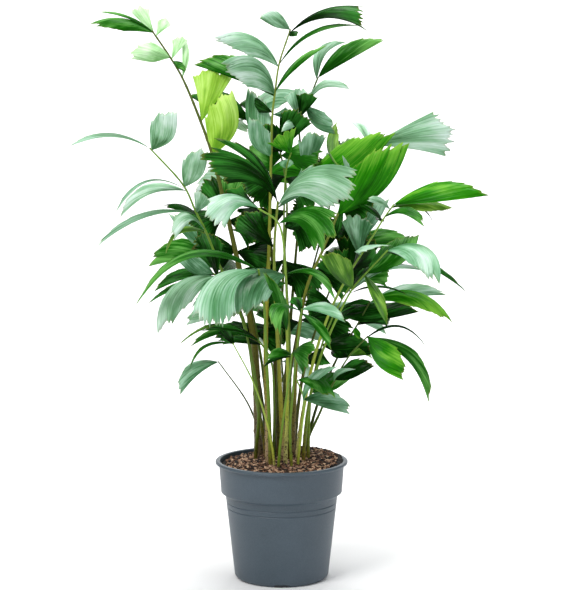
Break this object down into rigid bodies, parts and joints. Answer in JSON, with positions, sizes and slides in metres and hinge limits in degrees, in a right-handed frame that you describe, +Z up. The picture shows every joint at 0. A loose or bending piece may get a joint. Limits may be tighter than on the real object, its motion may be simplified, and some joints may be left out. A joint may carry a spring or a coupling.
{
  "type": "potted palm",
  "caption": "Clump-forming fishtail palm in a round plastic grow pot, with many stems and arching fronds of ragged fan-shaped leaflets.",
  "frame": {"origin": "centre of the flat pad on the pot's underside, on the pot's axis", "axes": "+Z up along the pot's axis through the palm, -Y towards the side that the palm is usually shown from, +X to that viewer's right"},
  "size_m": [0.8043, 0.7029, 1.1642],
  "materials": {
    "pot_plastic": "injection-moulded polypropylene, satin, slate blue-grey",
    "growing_mix": "moist bark and coir chips, matt, with white perlite bits",
    "palm": "living fishtail leaflets, waxy green above, paler below, on fibrous yellow-green stems"
  },
  "bodies": {
    "root": {"pot": "pot_plastic", "soil": "growing_mix", "frond_fall": "palm", "frond_front_dark": "palm", "frond_front_left": "palm", "frond_young": "palm", "frond_crown": "palm", "frond_right_pale": "palm", "frond_right_high": "palm", "frond_mid_green": "palm", "frond_left_reach": "palm", "frond_left_mid": "palm", "frond_right_mid": "palm", "frond_right_front": "palm", "frond_right_arch": "palm", "frond_right_droop": "palm", "frond_low_right": "palm", "frond_front_small": "palm", "frond_front_gloss": "palm", "frond_low_left": "palm", "frond_low_thin": "palm", "frond_low_dark": "palm", "frond_inner_left": "palm", "frond_inner_tall": "palm", "frond_inner_right": "palm", "frond_inner_low": "palm", "frond_back_high": "palm", "frond_back_left": "palm", "frond_back_right": "palm", "frond_back_low": "palm"}
  },
  "joints": []
}
